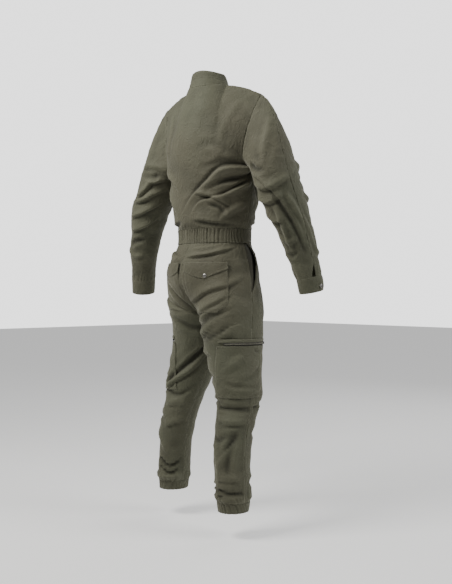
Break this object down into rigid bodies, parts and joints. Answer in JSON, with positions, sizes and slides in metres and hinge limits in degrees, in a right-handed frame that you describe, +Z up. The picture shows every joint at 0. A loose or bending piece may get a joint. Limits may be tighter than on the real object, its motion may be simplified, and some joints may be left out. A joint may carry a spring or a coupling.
{
  "type": "motorcycle suit",
  "caption": "One-piece riding coverall in olive cotton twill, filled out as worn: band collar, elastic waist, seat and thigh pockets, gathered hems.",
  "frame": {"origin": "middle of the collar seam, between the shoulders that carry the suit", "axes": "+Z up along the wearer's spine, the hips and legs face -Y, the wearer's right is at -X"},
  "size_m": [0.7795, 0.3614, 1.4423],
  "materials": {
    "twill": "matt olive cotton twill with a slight sheen",
    "pocketing": "dark olive twill in shade",
    "zip_tape": "black woven polyester tape",
    "zip_metal": "gunmetal",
    "snap_metal": "nickel plated"
  },
  "bodies": {
    "suit": {"back_bodice": "twill", "collar": "twill", "back_waistband": "twill", "front_waistband_right": "twill", "front_waistband_left": "twill", "front_zip_slider": "zip_metal", "front_bodice_right": "twill", "top_sleeve_right": "twill", "under_sleeve_right": "twill", "cuff_right": "twill", "cuff_snap_right": "snap_metal", "hem_band_right": "twill", "trouser_back_right": "twill", "trouser_front_right": "twill", "pocket_facing_right": "pocketing", "seat_pocket_right": "twill", "seat_flap_right": "twill", "seat_snap_right": "snap_metal", "thigh_pocket_right": "twill", "thigh_zip_right": "zip_tape", "thigh_zip_right_slider": "zip_metal", "front_zip_tape_right": "zip_tape", "front_bodice_left": "twill", "top_sleeve_left": "twill", "under_sleeve_left": "twill", "cuff_left": "twill", "cuff_snap_left": "snap_metal", "hem_band_left": "twill", "trouser_back_left": "twill", "trouser_front_left": "twill", "pocket_facing_left": "pocketing", "seat_pocket_left": "twill", "seat_flap_left": "twill", "seat_snap_left": "snap_metal", "thigh_pocket_left": "twill", "thigh_zip_left": "zip_tape", "thigh_zip_left_slider": "zip_metal", "front_zip_tape_left": "zip_tape"},
    "front_zip_pull_tab": {"front_zip_pull_tab": "zip_metal"},
    "thigh_zip_right_pull_tab": {"thigh_zip_right_pull_tab": "zip_metal"},
    "thigh_zip_left_pull_tab": {"thigh_zip_left_pull_tab": "zip_metal"}
  },
  "joints": [
    {"name": "front_zip_tab_lift", "type": "hinge", "parent": "suit", "child": "front_zip_pull_tab", "pos_m": [0.00535, -0.03807, -0.01287], "axis": [-0.9903, -0.1392, 0], "range_deg": [0, 150]},
    {"name": "thigh_zip_right_tab_lift", "type": "hinge", "parent": "suit", "child": "thigh_zip_right_pull_tab", "pos_m": [-0.17027, -0.06508, -0.85118], "axis": [-0.0679, -0.066, 0.9955], "range_deg": [0, 150]},
    {"name": "thigh_zip_left_tab_lift", "type": "hinge", "parent": "suit", "child": "thigh_zip_left_pull_tab", "pos_m": [0.15448, -0.11156, -0.85081], "axis": [-0.034, 0.0363, -0.9988], "range_deg": [0, 150]}
  ]
}
